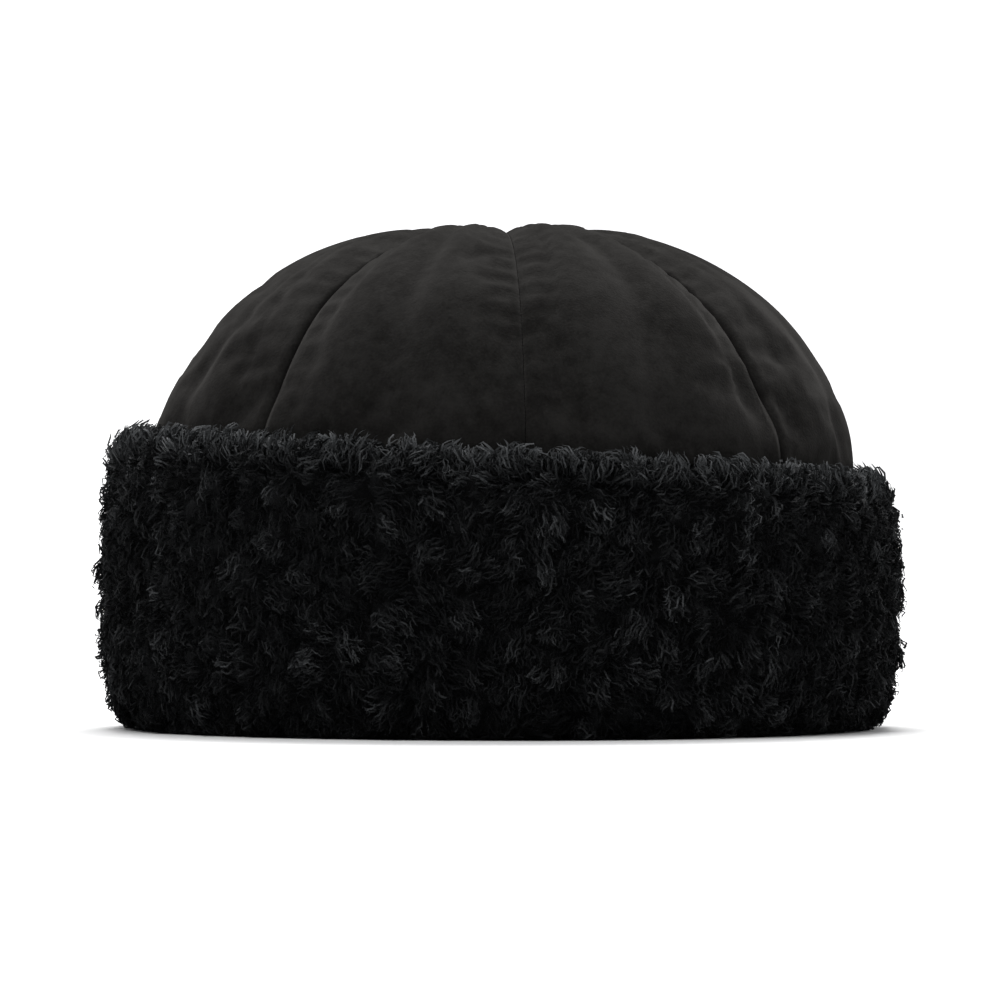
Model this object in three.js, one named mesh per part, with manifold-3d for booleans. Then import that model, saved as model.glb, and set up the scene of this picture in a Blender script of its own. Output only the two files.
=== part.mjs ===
// A black sheepskin hat with a suede crown of eight gores and a deep cuff turned up with its wool outwards.
// Millimetres, +Z up. The hat stands on the fold of its cuff, its front faces -Y, and the origin lies on the
// floor under its middle. Azimuths start at the front and run towards +X. A half width is measured along X.

import * as THREE from "three";
import { mergeVertices } from "three/addons/utils/BufferGeometryUtils.js";
import Module from "manifold-3d";

const { degToRad, lerp, smoothstep } = THREE.MathUtils;
const wasm = await Module();
wasm.setup();

// Driving dimensions
const seatGap = 0.4; // clearance between two pieces that lie on each other
const skinThickness = 2;

// The head opening is an oval, longer from front to back than it is wide, and a little fuller at the back.
const oval = { extraLength: 16, falloff: 60, backFullness: 0.02 };

const crown = {
  bottom: 15.4, // height of the gores' lower edge, hidden in the cuff
  top: 145,
  rows: 10, // the lowest is the straight stretch that the cuff hides
  stepsPerGore: 6,
  tipHalfWidth: 1.2, // where the gores' tips end, short of the middle
  puffStarts: 0.295, // share of the way up where the suede comes out of the cuff
  puffFull: 0.42,
  seamsMeetFrom: 0.86, // share from which the seams run together towards the middle
  middleSink: 3,
};

// The crown's outer face beside the head, from its lower edge to its middle, without the puff of the gores.
const crownProfile = [
  { height: crown.bottom, halfWidth: 97.4 },
  { height: 44, halfWidth: 99.3 },
  { height: 72, halfWidth: 101.2 },
  { height: 87, halfWidth: 100.4 },
  { height: 103, halfWidth: 93 },
  { height: 119.5, halfWidth: 80 },
  { height: 133, halfWidth: 61 },
  { height: 141.2, halfWidth: 40 },
  { height: 144.3, halfWidth: 19 },
  { height: crown.top, halfWidth: 0 },
];

// Each gore runs from its seam to the next one's. Depths are how far the seam and the soft crease in the
// middle of the gore sink into the puffed suede.
const gores = [
  { seamAzimuth: -3, seamDepth: 3.2, creaseDepth: 1.7 },
  { seamAzimuth: 43, seamDepth: 4.6, creaseDepth: 1.4 },
  { seamAzimuth: 88, seamDepth: 3.6, creaseDepth: 1.8 },
  { seamAzimuth: 134, seamDepth: 4.0, creaseDepth: 1.2 },
  { seamAzimuth: 179, seamDepth: 3.4, creaseDepth: 1.6 },
  { seamAzimuth: 223, seamDepth: 4.2, creaseDepth: 1.5 },
  { seamAzimuth: 268, seamDepth: 3.6, creaseDepth: 1.3 },
  { seamAzimuth: 313, seamDepth: 3.8, creaseDepth: 1.9 },
];
const seamHalfSpread = 0.6; // below 1 the gores puff up steeply beside their seams
const creaseSpread = 0.13; // of the width of the gore

// The wool inside the crown, tufted on the face that the head touches.
const lining = { pileAtSide: 14, pileAtTop: 11, tuft: 1.1 };

// The cuff's skin lies on the crown and turns in at its foot, under the crown's edge.
const cuffSkin = { top: 71, clearance: 0.9, footHeight: 13, footInner: 84, corner: 3 };
const footTop = cuffSkin.footHeight + skinThickness;

// The cuff is turned up a little less on one side, and its upper part reaches higher on the other.
const cuffDrop = { azimuth: 75, share: 0.055, sharpness: 2 };
const cuffRise = { azimuth: -90, share: 0.12, sharpness: 4, fromHeight: 16, fullHeight: 60 };

// The cuff's wool without its locks: half widths and heights round the fold and up the outside.
const wool = {
  innerHalfWidth: 81.5,
  rest: { from: 92, to: 101 }, // the flat of the fold that the hat stands on
  low: { halfWidth: 112.2, height: 20 },
  middle: { halfWidth: 113.4, height: 42 },
  high: { halfWidth: 112.6, height: 62 },
  top: { halfWidth: 106.5, height: 75 },
  edge: { halfWidth: 102.8, height: 73.8 },
};

// Soft swellings and hollows of the cuff, at an azimuth in degrees and a height.
const swellings = [
  { azimuth: -70, height: 20, reach: 24, out: 1.8 },
  { azimuth: -66, height: 46, reach: 16, out: -1.4 },
  { azimuth: -25, height: 62, reach: 22, out: 1.2 },
  { azimuth: 20, height: 48, reach: 15, out: -1.6 },
  { azimuth: 50, height: 30, reach: 26, out: 1.2 },
  { azimuth: 108, height: 22, reach: 22, out: 2.0 },
  { azimuth: 165, height: 44, reach: 26, out: -1.2 },
  { azimuth: 215, height: 30, reach: 24, out: 1.4 },
];

// The pile's open face is a staggered net of knots: some are the tips of locks, the others their roots.
const locks = {
  knotsAround: 96,
  knotRows: 14,
  rise: 4.4, // how far a tip stands out from its roots
  lean: 3.2, // how far it hangs over: down on the cuff's face, up at its edge
  fullFrom: 0.16, // share of the way up the pile, from the flat that the hat stands on
  standUpFrom: 0.7,
  standUpFull: 0.95,
  shortFrom: 0.93,
  floorClearance: 0.6,
};

// Longer locks stand up along the cuff's edge, a share of the way up the pile.
const edgeLocks = { count: 44, share: 0.84, length: 8, width: 8.5, rise: 4.2, rootDepth: 3, sway: 0.45 };

const suede = new THREE.MeshStandardMaterial({ color: 0x1b1a19, roughness: 0.95, metalness: 0 });
const cuffHide = new THREE.MeshStandardMaterial({ color: 0x191817, roughness: 0.9, metalness: 0 });
const cuffPile = new THREE.MeshStandardMaterial({ color: 0x0e0e0f, roughness: 0.85, metalness: 0 });
const liningPile = new THREE.MeshStandardMaterial({ color: 0x101011, roughness: 0.9, metalness: 0 });

// A repeatable scatter between -1 and 1 for one lock or tuft.
function scatter(seed) {
  const wave = Math.sin(seed * 12.9898 + 4.1) * 43758.5453;
  return 2 * (wave - Math.floor(wave)) - 1;
}

// Oval rings
function halfLength(halfWidth) {
  return halfWidth + oval.extraLength * (1 - Math.exp(-halfWidth / oval.falloff));
}

function ovalPoint(halfWidth, height, azimuth) {
  const fullness = 1 - oval.backFullness * Math.cos(azimuth);
  const x = halfWidth * Math.sin(azimuth) * fullness;
  return new THREE.Vector3(x, -halfLength(halfWidth) * Math.cos(azimuth), height);
}

function ovalOutward(halfWidth, azimuth) {
  const x = halfLength(halfWidth) * Math.sin(azimuth);
  return new THREE.Vector3(x, -halfWidth * Math.cos(azimuth), 0).normalize();
}

// The azimuth of a step round a ring, the last of which is the first again.
function stepAzimuth(step, steps) {
  return ((step % steps) / steps) * 2 * Math.PI;
}

// A solid from triangles. Corners at one place become one vertex, and what shrinks to a line is left out.
class SolidBuilder {
  positions = [];
  indices = [];
  places = new Map();

  vertex(point) {
    const key = point.toArray().map((c) => Math.round(c * 1e4)).join();
    if (!this.places.has(key)) {
      this.places.set(key, this.positions.length / 3);
      this.positions.push(...point.toArray());
    }
    return this.places.get(key);
  }

  triangle(...points) {
    const corners = points.map((p) => this.vertex(p));
    if (new Set(corners).size === 3) this.indices.push(...corners);
  }

  quad(a, b, c, d) {
    this.triangle(a, b, c);
    this.triangle(a, c, d);
  }

  // A band between two rings, each a function from a step round to its point. Both faces of a wall are split
  // along the same diagonals, so that pieces that lie on each other stay clear.
  band(lower, upper, steps, facesIn = false) {
    for (let step = 0; step < steps; step++) {
      const [a, b, c, d] = [lower(step), lower(step + 1), upper(step + 1), upper(step)];
      if (facesIn) this.quad(a, d, c, b);
      else this.quad(a, b, c, d);
    }
  }

  geometry() {
    const made = new THREE.BufferGeometry();
    made.setAttribute("position", new THREE.Float32BufferAttribute(this.positions, 3));
    made.setIndex(this.indices);
    return made;
  }
}

// A curved wall on a grid of rows up and columns round. point(face, row, column) gives a corner, with face 0
// outside and face 1 inside. A wall that closes round has no ends.
function wallGeometry(rows, columns, closesRound, point) {
  const builder = new SolidBuilder();
  const ring = (face, row) => (column) => point(face, row, column);
  const post = (face, column) => (row) => point(face, row, column);
  for (let row = 0; row < rows; row++) {
    builder.band(ring(0, row), ring(0, row + 1), columns);
    builder.band(ring(1, row), ring(1, row + 1), columns, true);
  }
  builder.band(ring(1, 0), ring(0, 0), columns);
  builder.band(ring(0, rows), ring(1, rows), columns);
  if (!closesRound) {
    builder.band(post(0, 0), post(1, 0), rows);
    builder.band(post(1, columns), post(0, columns), rows);
  }
  return builder.geometry();
}

// Crown: a smooth dome, into which the seams and creases of the gores sink
const crownCurve = new THREE.SplineCurve(
  crownProfile.map(({ halfWidth, height }) => new THREE.Vector2(halfWidth, height)),
);
const tipShare = 1 - crown.tipHalfWidth / crownCurve.getLength();

// The share of the way up at which a row of the crown's grid lies.
function crownShare(row) {
  if (row === 0) return 0;
  return lerp(crown.puffStarts, 1, (row - 1) / (crown.rows - 1));
}

function goreAzimuth(index, across) {
  const start = gores[index].seamAzimuth;
  const end = index + 1 < gores.length ? gores[index + 1].seamAzimuth : gores[0].seamAzimuth + 360;
  return degToRad(lerp(start, end, across));
}

// How far the suede sinks below the dome, for a place across one gore and a share of the way up.
function goreSink(index, across, share) {
  const gore = gores[index];
  const next = gores[(index + 1) % gores.length];
  const inSeam = 1 - Math.sin(Math.PI * across) ** seamHalfSpread;
  const inCrease = Math.exp(-(((across - 0.5) / creaseSpread) ** 2));
  const sink = lerp(gore.seamDepth, next.seamDepth, across) * inSeam + gore.creaseDepth * inCrease;
  const shown = smoothstep(share, crown.puffStarts, crown.puffFull);
  return shown * lerp(sink, crown.middleSink, smoothstep(share, crown.seamsMeetFrom, 1));
}

// A point at a depth under the dome.
function domePoint(share, azimuth, depth) {
  const { x: halfWidth, y: height } = crownCurve.getPointAt(share);
  const slope = crownCurve.getTangentAt(share);
  const outward = ovalOutward(Math.max(halfWidth, crown.tipHalfWidth), azimuth).multiplyScalar(slope.y);
  outward.z = -slope.x;
  return ovalPoint(halfWidth, height, azimuth).addScaledVector(outward, -depth);
}

function goreGeometry(index) {
  const steps = crown.stepsPerGore;
  return wallGeometry(crown.rows, steps, false, (face, row, step) => {
    const share = Math.min(crownShare(row), tipShare);
    const insetTurn = seatGap / 2 / crownCurve.getPointAt(share).x;
    const inset = step === 0 ? insetTurn : step === steps ? -insetTurn : 0;
    const depth = goreSink(index, step / steps, share) + face * skinThickness;
    return domePoint(share, goreAzimuth(index, step / steps) + inset, depth);
  });
}

function liningGeometry() {
  const columns = gores.length * crown.stepsPerGore;
  return wallGeometry(crown.rows, columns, true, (face, row, step) => {
    const column = step % columns;
    const index = Math.floor(column / crown.stepsPerGore);
    const across = (column % crown.stepsPerGore) / crown.stepsPerGore;
    const share = crownShare(row);
    const azimuth = goreAzimuth(index, across);
    const underSkin = skinThickness + seatGap;
    if (face === 0) return domePoint(share, azimuth, underSkin + goreSink(index, across, share));
    const tufted = row === 0 || row === crown.rows ? 0 : lining.tuft * Math.sqrt(1 - share);
    const tuft = tufted * scatter(row * columns + column);
    return domePoint(share, azimuth, underSkin + lerp(lining.pileAtSide, lining.pileAtTop, share) + tuft);
  });
}

// Cuff: everything on it keeps to the crown's wall, and is lower on the side that is turned up less
const [wallFoot, , wallHead] = crownProfile;

// A point beside the crown's wall, clear of it by an offset.
function besideCrown(height, offset) {
  const share = (height - wallFoot.height) / (wallHead.height - wallFoot.height);
  return new THREE.Vector2(lerp(wallFoot.halfWidth, wallHead.halfWidth, share) + offset, height);
}

// How near an azimuth lies to the side that a change of the cuff is made for, from 0 to 1.
function sideNearness(change, azimuth) {
  return ((1 + Math.cos(azimuth - degToRad(change.azimuth))) / 2) ** change.sharpness;
}

function cuffPoint({ x: halfWidth, y: height }, azimuth) {
  const upperPart = smoothstep(height, cuffRise.fromHeight, cuffRise.fullHeight);
  const raised = cuffRise.share * sideNearness(cuffRise, azimuth) * upperPart;
  const lowered = cuffDrop.share * sideNearness(cuffDrop, azimuth);
  return ovalPoint(halfWidth, height * (1 + raised - lowered), azimuth);
}

// The cuff's skin, a closed section that runs anticlockwise from the outer corner of its top edge.
function cuffSkinSection() {
  const inner = cuffSkin.clearance;
  const outer = inner + skinThickness;
  return [
    besideCrown(cuffSkin.top, outer),
    besideCrown(cuffSkin.top, inner),
    besideCrown(cuffSkin.top / 2, inner),
    besideCrown(footTop, inner),
    new THREE.Vector2(cuffSkin.footInner, footTop),
    new THREE.Vector2(cuffSkin.footInner, cuffSkin.footHeight),
    besideCrown(cuffSkin.footHeight, outer - cuffSkin.corner),
    besideCrown(cuffSkin.footHeight + cuffSkin.corner, outer),
    besideCrown(cuffSkin.top / 2, outer),
  ];
}

function cuffSkinGeometry() {
  const builder = new SolidBuilder();
  const section = cuffSkinSection();
  const steps = locks.knotsAround / 2;
  const ring = (point) => (step) => cuffPoint(point, stepAzimuth(step, steps));
  section.forEach((point, index) => {
    builder.band(ring(point), ring(section[(index + 1) % section.length]), steps);
  });
  return builder.geometry();
}

// The side of the wool's backing that lies on the cuff's skin, from the cuff's edge down to the rim, and then
// the inner side of the fold, down to the flat that the hat stands on.
function woolHiddenSide() {
  const clear = cuffSkin.clearance + skinThickness + seatGap;
  const fold = new THREE.Path();
  fold.moveTo(wool.innerHalfWidth, footTop);
  fold.lineTo(wool.innerHalfWidth, cuffSkin.footHeight - 1);
  fold.quadraticCurveTo(wool.innerHalfWidth + 0.5, 0.6, wool.rest.from, 0);
  return [
    besideCrown(cuffSkin.top + seatGap, cuffSkin.clearance),
    besideCrown(cuffSkin.top + seatGap, clear),
    besideCrown(cuffSkin.footHeight + cuffSkin.corner, clear),
    besideCrown(cuffSkin.footHeight - seatGap, clear - cuffSkin.corner),
    new THREE.Vector2(cuffSkin.footInner - seatGap, cuffSkin.footHeight - seatGap),
    new THREE.Vector2(cuffSkin.footInner - seatGap, footTop),
    ...fold.getPoints(3),
  ];
}

// The pile's open face, from the flat up the outside of the cuff and over its edge.
function woolOpenSide() {
  const face = new THREE.Path();
  face.moveTo(wool.rest.to, 0);
  face.quadraticCurveTo(wool.low.halfWidth - 0.6, 1, wool.low.halfWidth, wool.low.height);
  face.splineThru([wool.middle, wool.high].map((p) => new THREE.Vector2(p.halfWidth, p.height)));
  face.quadraticCurveTo(wool.high.halfWidth - 0.8, wool.top.height, wool.top.halfWidth, wool.top.height);
  face.lineTo(wool.edge.halfWidth, wool.edge.height);
  return face;
}

const pileCurve = woolOpenSide();

function swellingOut(azimuth, height) {
  let out = 0;
  for (const swell of swellings) {
    const along = 2 * Math.sin((azimuth - degToRad(swell.azimuth)) / 2) * wool.middle.halfWidth;
    out += swell.out * Math.exp(-(along ** 2 + (height - swell.height) ** 2) / swell.reach ** 2);
  }
  return out;
}

// A place on the pile's open face, with the directions out of it, up along it and round it.
function pilePlace(share, azimuth) {
  const point = pileCurve.getPointAt(share);
  const slope = pileCurve.getTangentAt(share);
  const outward = ovalOutward(point.x, azimuth).multiplyScalar(slope.y);
  outward.z = -slope.x;
  const upward = ovalOutward(point.x, azimuth).multiplyScalar(slope.x);
  upward.z = slope.y;
  const sideways = new THREE.Vector3().crossVectors(upward, outward);
  const place = cuffPoint(point, azimuth).addScaledVector(outward, swellingOut(azimuth, point.y));
  return { place, outward, upward, sideways };
}

// Every third knot of the net is the tip of a lock, and the six knots round it are its roots.
function isLockTip(row, column) {
  const slanted = column - Math.floor(row / 2) - row;
  return ((slanted % 3) + 3) % 3 === 0;
}

function knot(row, step) {
  const { knotsAround, knotRows, rise, lean } = locks;
  const column = step % knotsAround;
  if (row === 0 || row === knotRows)
    return cuffPoint(pileCurve.getPointAt(row / knotRows), stepAzimuth(column, knotsAround));
  const seed = row * knotsAround + column;
  const share = (row + 0.22 * scatter(seed)) / knotRows;
  const azimuth = stepAzimuth(column + 0.5 * (row % 2) + 0.25 * scatter(seed + 0.3), knotsAround);
  const { place, outward, upward, sideways } = pilePlace(share, azimuth);
  const full = smoothstep(share, 0, locks.fullFrom) * (1 - smoothstep(share, locks.shortFrom, 1));
  if (isLockTip(row, column)) {
    const lay = lerp(-1, 1, smoothstep(share, locks.standUpFrom, locks.standUpFull));
    place.addScaledVector(outward, full * rise * (1 + 0.3 * scatter(seed + 0.6)));
    place.addScaledVector(upward, full * lean * (lay + 0.4 * scatter(seed + 0.7)));
    place.addScaledVector(sideways, full * lean * 0.7 * scatter(seed + 0.8));
  } else place.addScaledVector(outward, 0.5 * full * scatter(seed + 0.9));
  place.z = Math.max(place.z, locks.floorClearance);
  return place;
}

// The backing with its net of locks. A row's odd neighbours stand half a step further round.
function pileGeometry() {
  const builder = new SolidBuilder();
  const { knotsAround, knotRows } = locks;
  const net = (row) => (step) => knot(row, step);
  const smooth = woolHiddenSide().map((p) => (step) => cuffPoint(p, stepAzimuth(step, knotsAround)));
  const rings = [net(knotRows), ...smooth, net(0)];
  for (let index = 0; index + 1 < rings.length; index++)
    builder.band(rings[index], rings[index + 1], knotsAround);
  for (let row = 0; row < knotRows; row++)
    for (let step = 0; step < knotsAround; step++) {
      const [a, b] = [knot(row, step), knot(row, step + 1)];
      const [d, c] = [knot(row + 1, step), knot(row + 1, step + 1)];
      builder.triangle(a, b, row % 2 === 0 ? d : c);
      if (row % 2 === 0) builder.triangle(b, c, d);
      else builder.triangle(a, c, d);
    }
  return builder.geometry();
}

// One longer lock: a ridge whose root is sunk in the backing and whose tip stands up clear of it.
function edgeLockGeometry(azimuth, seed) {
  const { width, rise, rootDepth, sway } = edgeLocks;
  const { place, outward, upward } = pilePlace(edgeLocks.share + 0.03 * scatter(seed + 0.2), azimuth);
  const length = edgeLocks.length * (1 + 0.25 * scatter(seed + 0.7));
  const along = upward.clone().applyAxisAngle(outward, sway * scatter(seed + 0.5));
  const across = new THREE.Vector3().crossVectors(along, outward);
  const at = (forward, sideways, out) => place.clone()
    .addScaledVector(along, forward * length)
    .addScaledVector(across, sideways * width)
    .addScaledVector(outward, out);
  const root = [at(-0.4, -0.4, -rootDepth), at(-0.4, 0.4, -rootDepth), at(-0.3, 0, 1)];
  const body = [at(0.2, -0.5, -rootDepth), at(0.2, 0.5, -rootDepth), at(0.25, 0, rise)];
  const tip = at(0.75, 0.15 * scatter(seed + 0.3), 0.6 * rise);
  const builder = new SolidBuilder();
  builder.triangle(...root);
  for (let side = 0; side < 3; side++) {
    const next = (side + 1) % 3;
    builder.quad(root[side], body[side], body[next], root[next]);
    builder.triangle(body[side], tip, body[next]);
  }
  return builder.geometry();
}

function toManifold(geometry) {
  const merged = mergeVertices(geometry, 1e-4);
  const mesh = new wasm.Mesh({
    numProp: 3,
    vertProperties: new Float32Array(merged.attributes.position.array),
    triVerts: new Uint32Array(merged.index.array),
  });
  return new wasm.Manifold(mesh);
}

function toGeometry(manifold) {
  const mesh = manifold.getMesh();
  const geometry = new THREE.BufferGeometry();
  geometry.setAttribute("position", new THREE.Float32BufferAttribute(mesh.vertProperties, 3));
  geometry.setIndex(Array.from(mesh.triVerts));
  return geometry;
}

// The cuff's wool: the longer locks of its edge are fused to the pile.
function cuffWoolGeometry() {
  let fused = toManifold(pileGeometry());
  for (let index = 0; index < edgeLocks.count; index++) {
    const azimuth = stepAzimuth(index + 0.3 * scatter(index), edgeLocks.count);
    fused = fused.add(toManifold(edgeLockGeometry(azimuth, index)));
  }
  return toGeometry(fused);
}

// The hat
function piece(name, geometry, material) {
  const mesh = new THREE.Mesh(geometry, material);
  mesh.name = name;
  return mesh;
}

const hat = new THREE.Group();
gores.forEach((gore, index) => hat.add(piece(`crown_gore_${index + 1}`, goreGeometry(index), suede)));
hat.add(piece("crown_lining_wool", liningGeometry(), liningPile));
hat.add(piece("cuff_skin", cuffSkinGeometry(), cuffHide));
hat.add(piece("cuff_wool", cuffWoolGeometry(), cuffPile));

export default hat;
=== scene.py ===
# A black sheepskin hat: a crown of eight puffed suede gores, and a cuff turned up, its curly wool outwards.
import logging
import math
from dataclasses import dataclass, field
from enum import Enum
from functools import partial
from typing import Callable, Sequence

import bpy
import numpy as np
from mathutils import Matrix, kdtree


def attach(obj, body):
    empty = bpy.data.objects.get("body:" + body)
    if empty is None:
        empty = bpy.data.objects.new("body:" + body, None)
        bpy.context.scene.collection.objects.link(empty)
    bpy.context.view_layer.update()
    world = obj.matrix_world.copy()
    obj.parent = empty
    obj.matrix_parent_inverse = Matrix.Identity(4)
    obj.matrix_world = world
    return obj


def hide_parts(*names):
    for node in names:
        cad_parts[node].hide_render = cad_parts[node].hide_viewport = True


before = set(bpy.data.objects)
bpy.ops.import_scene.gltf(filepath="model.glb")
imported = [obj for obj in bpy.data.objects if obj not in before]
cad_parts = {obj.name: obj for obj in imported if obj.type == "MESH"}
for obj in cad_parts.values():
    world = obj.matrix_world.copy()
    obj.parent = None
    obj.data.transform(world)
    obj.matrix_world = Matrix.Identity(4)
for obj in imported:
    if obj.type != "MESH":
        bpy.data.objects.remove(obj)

MM = 0.001
LOG = logging.getLogger("sheepskin_hat")
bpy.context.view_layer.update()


class Slot(Enum):
    """The parts of the hat that can each be given another colour."""

    CROWN_SUEDE = "crown_suede"
    CUFF_HIDE = "cuff_hide"
    CUFF_WOOL = "cuff_wool"
    LINING_WOOL = "lining_wool"


def scatter(seed: np.ndarray | float) -> np.ndarray:
    """Gives the repeatable scatter between -1 and 1 that places the hat's locks.

    Args:
        seed: one number for each lock or knot.

    Returns:
        A number between -1 and 1 for each seed.
    """
    wave = np.sin(np.asarray(seed, dtype=float) * 12.9898 + 4.1) * 43758.5453
    return 2 * (wave - np.floor(wave)) - 1


def smoothstep(x: np.ndarray, low: float, high: float) -> np.ndarray:
    """Rises smoothly from 0 at low to 1 at high."""
    t = np.clip((np.asarray(x, dtype=float) - low) / (high - low), 0, 1)
    return t * t * (3 - 2 * t)


def mix(a: np.ndarray | float, b: np.ndarray | float, share: np.ndarray | float) -> np.ndarray:
    """Blends from a to b by a share between 0 and 1."""
    return a + (b - a) * share


def unit(vectors: np.ndarray) -> np.ndarray:
    """Scales vectors in the last axis to length 1."""
    return vectors / np.maximum(np.linalg.norm(vectors, axis=-1, keepdims=True), 1e-12)


@dataclass(frozen=True)
class Profile:
    """A curve of half width and height in mm, read by the share of its length."""

    points: np.ndarray

    @staticmethod
    def catmull(knots: Sequence[tuple[float, float]], steps: int = 24) -> np.ndarray:
        """Gives points on a smooth curve through knots.

        Args:
            knots: half width and height of each knot.
            steps: how many points each stretch gets.

        Returns:
            The points, the first and last knot included.
        """
        k = np.array(knots, dtype=float)
        k = np.vstack([k[:1], k, k[-1:]])
        made = []
        for i in range(1, len(k) - 2):
            t = np.linspace(0, 1, steps, endpoint=False)[:, None]
            a, b, c, d = k[i - 1], k[i], k[i + 1], k[i + 2]
            v0, v1 = (c - a) / 2, (d - b) / 2
            made.append((2 * b - 2 * c + v0 + v1) * t**3 + (-3 * b + 3 * c - 2 * v0 - v1) * t**2 + v0 * t + b)
        return np.vstack([*made, k[-1:]])

    @staticmethod
    def quadratic(a: tuple[float, float], b: tuple[float, float], c: tuple[float, float]) -> np.ndarray:
        """Gives points on a curve that bends towards a point.

        Args:
            a: half width and height where it starts.
            b: half width and height of the point that pulls it.
            c: half width and height where it ends.

        Returns:
            The points, both ends included.
        """
        t = np.linspace(0, 1, 24)[:, None]
        a, b, c = (np.array(p, dtype=float) for p in (a, b, c))
        return (1 - t) ** 2 * a + 2 * t * (1 - t) * b + t**2 * c

    def _lengths(self) -> np.ndarray:
        """Gives the length along the curve at each of its points."""
        steps = np.linalg.norm(np.diff(self.points, axis=0), axis=1)
        return np.concatenate([[0], np.cumsum(steps)])

    def length(self) -> float:
        """Gives the curve's whole length in mm."""
        return float(self._lengths()[-1])

    def at(self, share: np.ndarray) -> tuple[np.ndarray, np.ndarray, np.ndarray]:
        """Reads the curve.

        Args:
            share: shares of its length.

        Returns:
            The half width, the height and the unit tangent at each share.
        """
        s = self._lengths()
        t = np.asarray(share, dtype=float) * s[-1]
        half, height = (np.interp(t, s, self.points[:, k]) for k in (0, 1))
        ahead, behind = np.clip(t + 1, 0, s[-1]), np.clip(t - 1, 0, s[-1])
        half_slope, height_slope = (
            np.interp(ahead, s, self.points[:, k]) - np.interp(behind, s, self.points[:, k]) for k in (0, 1)
        )
        return half, height, unit(np.stack([half_slope, height_slope], axis=-1))


@dataclass
class Oval:
    """The hat's plan: ovals longer from front to back than wide, a little fuller at the back."""

    extra_length: float = 16
    falloff: float = 60
    back_fullness: float = 0.02

    def half_length(self, half: np.ndarray) -> np.ndarray:
        """Gives the half length of the oval of a half width."""
        return half + self.extra_length * (1 - np.exp(-half / self.falloff))

    def point(self, half: np.ndarray, height: np.ndarray, azimuth: np.ndarray) -> np.ndarray:
        """Gives points of ovals in mm.

        Args:
            half: half width of the oval.
            height: height over the floor.
            azimuth: turn from the front towards +X, in radians.

        Returns:
            An array of points, its last axis x, y and z.
        """
        fullness = 1 - self.back_fullness * np.cos(azimuth)
        x = half * np.sin(azimuth) * fullness
        y = -self.half_length(half) * np.cos(azimuth)
        return np.stack(np.broadcast_arrays(x, y, height), axis=-1)

    def outward(self, half: np.ndarray, azimuth: np.ndarray) -> np.ndarray:
        """Gives the level direction out of an oval.

        Args:
            half: half width of the oval.
            azimuth: turn from the front towards +X, in radians.

        Returns:
            Unit vectors, their last axis x, y and z.
        """
        x = self.half_length(half) * np.sin(azimuth)
        y = -half * np.cos(azimuth)
        return unit(np.stack(np.broadcast_arrays(x, y, 0 * x), axis=-1))

    def ways(self, half: np.ndarray, slope: np.ndarray, azimuth: np.ndarray) -> tuple[np.ndarray, np.ndarray]:
        """Gives the directions of a surface whose level cuts are ovals.

        Args:
            half: half width of the oval at each place.
            slope: the unit tangent of the surface's curve at each place.
            azimuth: turn from the front towards +X, in radians.

        Returns:
            Unit vectors out of the surface and up along it.
        """
        level = self.outward(half, azimuth)
        outward, upward = level * slope[..., 1:2], level * slope[..., 0:1]
        outward[..., 2] = -slope[..., 0]
        upward[..., 2] = slope[..., 1]
        return outward, upward


OVAL = Oval()


class Wire:
    """A shader value that Python's operators work on."""

    def __init__(self, shader: "Shader", socket: bpy.types.NodeSocket) -> None:
        """Wraps a socket of a shader."""
        self.shader = shader
        self.socket = socket

    def _math(self, operation: str, *values: "Wire | float") -> "Wire":
        """Adds one Math node."""
        sockets = dict(enumerate(values))
        return self.shader.node("ShaderNodeMath", {"operation": operation}, sockets)

    def __add__(self, other: "Wire | float") -> "Wire":
        """Adds two values."""
        return self._math("ADD", self, other)

    def __sub__(self, other: "Wire | float") -> "Wire":
        """Takes one value from another."""
        return self._math("SUBTRACT", self, other)

    def __rsub__(self, other: float) -> "Wire":
        """Takes this value from a number."""
        return self._math("SUBTRACT", other, self)

    def __mul__(self, other: "Wire | float") -> "Wire":
        """Multiplies two values."""
        return self._math("MULTIPLY", self, other)

    __radd__ = __add__
    __rmul__ = __mul__

    def __pow__(self, other: float) -> "Wire":
        """Raises this value to a power."""
        return self._math("POWER", self, other)

    def ramp(self, low: float, high: float) -> "Wire":
        """Maps low to high onto 0 to 1, clamped and smooth."""
        sockets = {"Value": self, "From Min": low, "From Max": high}
        return self.shader.node("ShaderNodeMapRange", {"interpolation_type": "SMOOTHSTEP"}, sockets)


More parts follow.
